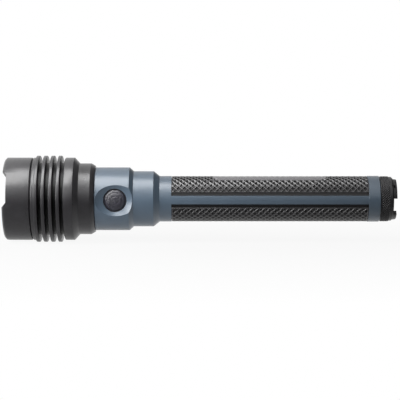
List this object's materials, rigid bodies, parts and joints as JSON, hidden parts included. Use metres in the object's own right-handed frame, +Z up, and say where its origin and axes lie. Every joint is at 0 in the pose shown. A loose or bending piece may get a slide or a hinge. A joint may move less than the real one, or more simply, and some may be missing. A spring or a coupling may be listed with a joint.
{
  "type": "firefighter flashlight",
  "caption": "Long two-cell hand light with a finned round head, a domed side switch in a dished collar, knurled rubber grips and a screw tail cap.",
  "frame": {"origin": "middle of the overall length, on the light's axis", "axes": "+X along the axis from the face to the tail, the switch faces -Y, +Z up as the light lies"},
  "size_m": [0.242, 0.0536, 0.0536],
  "materials": {
    "black_anodized": "black hard-anodized, satin",
    "blue_anodized": "blue-grey hard-anodized, satin",
    "grip_rubber": "moulded rubber, matt",
    "button_rubber": "moulded rubber, matt",
    "seal_rubber": "smooth",
    "lens_glass": "clear, coated",
    "mirror_coat": "vacuum-coated mirror",
    "white_plastic": "moulded",
    "phosphor_dome": "clear silicone over yellow phosphor",
    "bare_aluminium": "turned",
    "steel": "plated",
    "lead_insulation": "insulated wire",
    "board_green": "glass-fibre board",
    "ferrite": "sintered",
    "chip_black": "moulded",
    "capacitor_tan": "ceramic",
    "brass": "turned",
    "cell_can": "can in a printed-free shrink sleeve",
    "nickel": "nickel-plated"
  },
  "bodies": {
    "lamp_body": {"head_housing": "black_anodized", "barrel": "blue_anodized", "grip_pad_top": "grip_rubber", "grip_pad_bottom": "grip_rubber", "switch_retaining_ring": "black_anodized", "reflector": "mirror_coat", "face_cap_o_ring": "seal_rubber", "head_o_ring": "seal_rubber", "led_centering_ring": "white_plastic", "led_board": "bare_aluminium", "led_base": "white_plastic", "led_dome": "phosphor_dome", "led_board_screws": "steel", "heat_sink": "bare_aluminium", "led_leads": "lead_insulation", "driver_board": "board_green", "driver_inductor": "ferrite", "driver_chips": "chip_black", "driver_capacitors": "capacitor_tan", "driver_retaining_ring": "brass", "tact_switch": "chip_black", "switch_board": "board_green", "switch_carrier": "white_plastic", "switch_leads": "lead_insulation", "positive_lead": "lead_insulation", "contact_board": "board_green", "contact_post": "brass", "front_cell": "cell_can", "rear_cell": "cell_can", "front_cell_terminal": "nickel", "rear_cell_terminal": "nickel"},
    "button": {"switch_button": "button_rubber", "button_o_ring": "seal_rubber", "tact_plunger": "chip_black"},
    "face_cap_run": {"lens": "lens_glass", "lens_gasket": "seal_rubber"},
    "face_cap_thread": {"face_cap": "black_anodized"},
    "tail_cap_run": {"tail_o_ring": "seal_rubber"},
    "tail_cap_thread": {"tail_cap": "black_anodized", "tail_contact": "brass", "tail_retaining_ring": "bare_aluminium", "tail_spring": "steel"}
  },
  "joints": [
    {"name": "switch_press", "type": "slide", "parent": "lamp_body", "child": "button", "axis": [0, 1, 0], "range_m": [0, 0.0008], "stiffness_N_per_m": 1500, "springref_m": -0.0006},
    {"name": "face_cap_travel", "type": "slide", "parent": "lamp_body", "child": "face_cap_run", "axis": [-1, 0, 0], "range_m": [0, 0.005]},
    {"name": "face_cap_turn", "type": "hinge", "parent": "face_cap_run", "child": "face_cap_thread", "pos_m": [-0.113, 0, 0], "axis": [-1, 0, 0], "range_deg": [0, 1801]},
    {"name": "tail_cap_travel", "type": "slide", "parent": "lamp_body", "child": "tail_cap_run", "axis": [1, 0, 0], "range_m": [0, 0.00625]},
    {"name": "tail_cap_turn", "type": "hinge", "parent": "tail_cap_run", "child": "tail_cap_thread", "pos_m": [0.114, 0, 0], "axis": [1, 0, 0], "range_deg": [0, 1801]}
  ],
  "couplings": [
    {"joint": "face_cap_turn", "follows": "face_cap_travel", "rad_per_m": 6283.2},
    {"joint": "tail_cap_turn", "follows": "tail_cap_travel", "rad_per_m": 5026.5}
  ]
}
